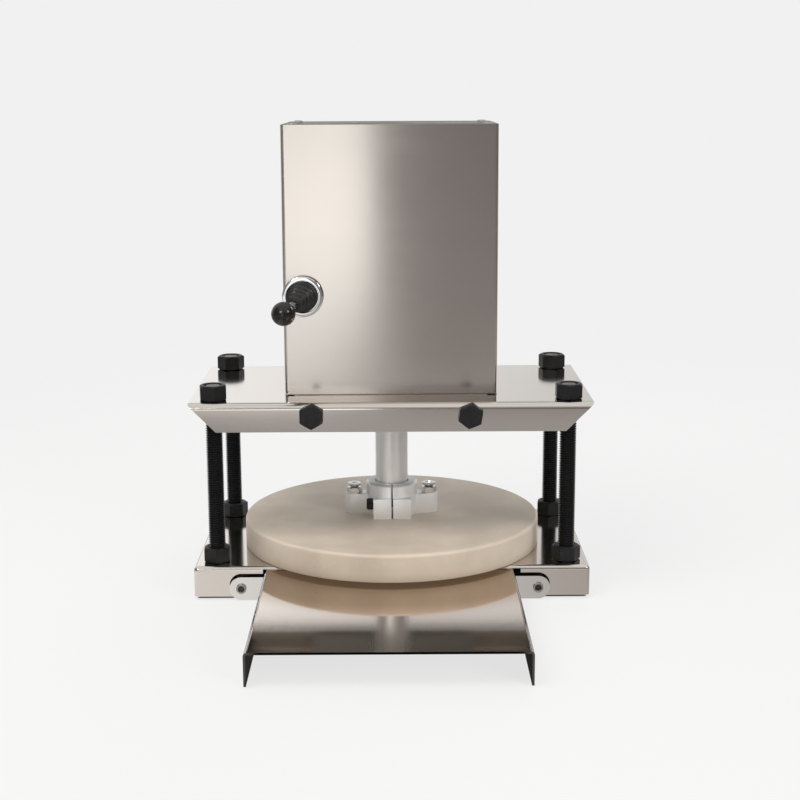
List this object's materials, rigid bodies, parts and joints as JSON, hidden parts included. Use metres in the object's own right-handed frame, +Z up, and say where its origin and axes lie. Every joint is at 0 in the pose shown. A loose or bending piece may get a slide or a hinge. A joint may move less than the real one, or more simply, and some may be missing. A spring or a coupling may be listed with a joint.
{
  "type": "electric pizza dough press",
  "caption": "Benchtop electric dough press: nylon disc on a guided ram under a stainless motor housing, threaded posts on a folded base, front tray and a side joystick.",
  "frame": {"origin": "on the table, under the middle of the footprint (front edge of the tray to the back of the disc)", "axes": "+Z up, +Y to the back of the press, the tray and the joystick face -Y"},
  "size_m": [0.284, 0.3432, 0.3358],
  "materials": {
    "stainless": "brushed and polished stainless sheet",
    "black_oxide": "matt black oxide",
    "satin_aluminium": "satin machined",
    "bright_zinc": "bright zinc plate",
    "nylon": "turned cream nylon, satin",
    "black_rubber": "matt moulded rubber",
    "chrome_ring": "polished",
    "black_plastic": "glossy moulded",
    "dark_plastic": "satin moulded",
    "bronze": "turned bronze",
    "plain_steel": "turned steel, lightly oiled",
    "motor_paint": "black enamel",
    "zinc_sheet": "zinc-plated sheet",
    "cast_aluminium": "as cast, machined faces",
    "board_green": "solder mask",
    "relay_blue": "moulded"
  },
  "bodies": {
    "frame": {"base_plate": "stainless", "rubber_feet": "black_rubber", "front_tray": "stainless", "tray_screws": "bright_zinc", "tray_nuts": "bright_zinc", "rod_front_left": "black_oxide", "rod_front_right": "black_oxide", "rod_rear_left": "black_oxide", "rod_rear_right": "black_oxide", "upper_nuts": "black_oxide", "plate_lock_nuts": "black_oxide", "lower_nuts": "black_oxide", "base_lock_nuts": "black_oxide", "top_plate": "stainless", "crosshead_block": "cast_aluminium", "crosshead_bolts": "black_oxide", "guide_bush": "bronze", "actuator_tube": "plain_steel", "tube_screws": "black_oxide", "gear_case": "cast_aluminium", "gear_case_cover": "cast_aluminium", "gear_case_screws": "bright_zinc", "screw_bearing": "plain_steel", "motor_body": "motor_paint", "motor_screws": "bright_zinc", "limit_switches": "dark_plastic", "power_supply": "zinc_sheet", "control_board": "board_green", "board_standoffs": "bronze", "relays": "relay_blue", "power_inlet": "dark_plastic", "inlet_pins": "bronze", "inlet_screws": "bright_zinc", "housing_wrap": "stainless", "rear_cover": "stainless", "top_cover": "stainless", "cover_screws": "bright_zinc", "housing_screws": "bright_zinc", "joystick_bezel": "chrome_ring", "joystick_body": "dark_plastic", "joystick_lock_nut": "dark_plastic", "joystick_boot": "black_rubber"},
    "press": {"press_shaft": "satin_aluminium", "hub_clamp": "satin_aluminium", "clamp_screw": "black_oxide", "hub_screws": "bright_zinc", "hub_nuts": "bright_zinc", "press_disc": "nylon", "lead_nut": "bronze"},
    "screw": {"lead_screw": "plain_steel", "bearing_inner_ring": "plain_steel", "driven_gear": "plain_steel", "gear_key": "plain_steel"},
    "rotor": {"motor_shaft": "plain_steel", "motor_pinion": "plain_steel"},
    "lever": {"joystick_lever": "plain_steel", "joystick_ball": "black_plastic"}
  },
  "joints": [
    {"name": "screw_turn", "type": "hinge", "parent": "frame", "child": "screw", "pos_m": [0, 0.06155, 0.25], "axis": [0, 0, -1], "range_deg": [0, 4500]},
    {"name": "press_slide", "type": "slide", "parent": "frame", "child": "press", "axis": [0, 0, 1], "range_m": [0, 0.05]},
    {"name": "rotor_turn", "type": "hinge", "parent": "frame", "child": "rotor", "pos_m": [0, 0.10355, 0.27], "axis": [0, 0, -1], "range_deg": [-13500, 0]},
    {"name": "lever_tilt", "type": "hinge", "parent": "frame", "child": "lever", "pos_m": [-0.0619, 0.02155, 0.2146], "axis": [-0.454, 0, 0.891], "range_deg": [0, 25.8], "deforming": ["joystick_boot"]}
  ],
  "couplings": [
    {"joint": "press_slide", "follows": "screw_turn", "m_per_rad": 0.00063662},
    {"joint": "rotor_turn", "follows": "screw_turn", "ratio": -3}
  ]
}
